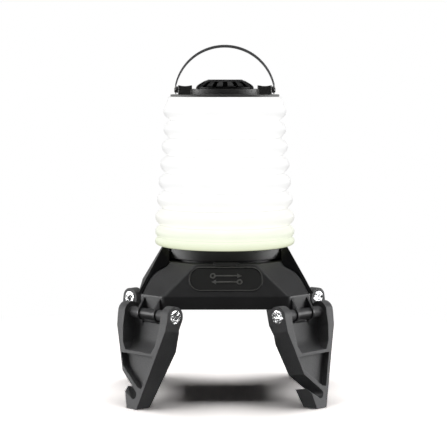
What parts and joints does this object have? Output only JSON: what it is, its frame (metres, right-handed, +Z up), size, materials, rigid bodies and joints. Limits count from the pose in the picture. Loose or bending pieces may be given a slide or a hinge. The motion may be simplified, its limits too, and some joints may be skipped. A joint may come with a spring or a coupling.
{
  "type": "lantern",
  "caption": "Rechargeable camping lantern: glowing silicone bellows globe on an octagonal base with fold-out hook legs, vented cap and swinging bail.",
  "frame": {"origin": "on the ground under the centre of the base, midway between the four feet", "axes": "+Z up along the lantern, -Y towards the port cover at the front, +X to the right seen from the front"},
  "size_m": [0.106, 0.106, 0.1748],
  "materials": {
    "housing": "fine-textured charcoal",
    "guard": "polished black",
    "bottom_cover": "fine-textured charcoal",
    "steel": "zinc plated",
    "inner_plastic": "black",
    "battery": "blue shrink film",
    "circuit_board": "green solder mask",
    "collar": "satin charcoal",
    "heat_spreader": "milled",
    "lamp_board": "white solder mask",
    "emitter": "phosphor",
    "lens": "frosted",
    "globe": "translucent silicone, lit",
    "cap": "satin black",
    "crown": "polished black",
    "bail": "grey coated spring steel",
    "port_cover": "matt black",
    "socket": "tinned",
    "button_white": "moulded",
    "button_colour": "moulded",
    "charge_light": "clear",
    "switches": "black",
    "leg": "fine-textured charcoal",
    "chrome": "polished"
  },
  "bodies": {
    "base": {"battery_pack": "battery", "battery_tray": "inner_plastic", "bottom_cover": "bottom_cover", "charge_light": "charge_light", "collar_ring": "collar", "cover_anchor": "port_cover", "cover_screws": "steel", "globe": "globe", "globe_retainer": "inner_plastic", "heat_spreader": "heat_spreader", "housing": "housing", "lamp_board": "lamp_board", "lamp_lens": "lens", "led_emitters": "emitter", "main_board": "circuit_board", "micro_usb_socket": "socket", "port_board": "circuit_board", "side_guard_left": "guard", "side_guard_right": "guard", "switch_board": "circuit_board", "tact_switches": "switches", "usb_a_socket": "socket"},
    "cap": {"cap": "cap", "cap_clamp": "inner_plastic", "vent_crown": "crown", "vent_core": "inner_plastic", "bail_pins": "steel"},
    "bail": {"bail": "bail"},
    "leg_front_right": {"leg_front_right": "leg", "hinge_screw_front_right": "chrome", "barrel_nut_front_right": "chrome"},
    "leg_rear_right": {"leg_rear_right": "leg", "hinge_screw_rear_right": "chrome", "barrel_nut_rear_right": "chrome"},
    "leg_rear_left": {"leg_rear_left": "leg", "hinge_screw_rear_left": "chrome", "barrel_nut_rear_left": "chrome"},
    "leg_front_left": {"leg_front_left": "leg", "hinge_screw_front_left": "chrome", "barrel_nut_front_left": "chrome"},
    "port_cover": {"port_cover": "port_cover"},
    "button_white": {"button_white": "button_white"},
    "button_colour": {"button_colour": "button_colour"}
  },
  "joints": [
    {"name": "globe_collapse", "type": "slide", "parent": "base", "child": "cap", "axis": [0, 0, -1], "range_m": [0, 0.05], "deforming": ["globe"]},
    {"name": "bail_swing", "type": "hinge", "parent": "cap", "child": "bail", "pos_m": [0, 0, 0.1525], "axis": [1, 0, 0], "range_deg": [-75, 95]},
    {"name": "leg_front_right_fold", "type": "hinge", "parent": "base", "child": "leg_front_right", "pos_m": [0.03662, -0.03662, 0.04463], "axis": [-0.7071, -0.7071, 0], "range_deg": [0, 165]},
    {"name": "leg_rear_right_fold", "type": "hinge", "parent": "base", "child": "leg_rear_right", "pos_m": [0.03662, 0.03662, 0.04463], "axis": [0.7071, -0.7071, 0], "range_deg": [0, 165]},
    {"name": "leg_rear_left_fold", "type": "hinge", "parent": "base", "child": "leg_rear_left", "pos_m": [-0.03662, 0.03662, 0.04463], "axis": [0.7071, 0.7071, 0], "range_deg": [0, 165]},
    {"name": "leg_front_left_fold", "type": "hinge", "parent": "base", "child": "leg_front_left", "pos_m": [-0.03662, -0.03662, 0.04463], "axis": [-0.7071, 0.7071, 0], "range_deg": [0, 165]},
    {"name": "port_cover_bend", "type": "hinge", "parent": "base", "child": "port_cover", "pos_m": [0, -0.0395, 0.0567], "axis": [1, 0, 0], "range_deg": [0, 110]},
    {"name": "button_white_press", "type": "slide", "parent": "base", "child": "button_white", "axis": [0, -0.8833, -0.4687], "range_m": [0, 0.0008], "stiffness_N_per_m": 1500},
    {"name": "button_colour_press", "type": "slide", "parent": "base", "child": "button_colour", "axis": [0, -0.8833, -0.4687], "range_m": [0, 0.0008], "stiffness_N_per_m": 1500}
  ]
}
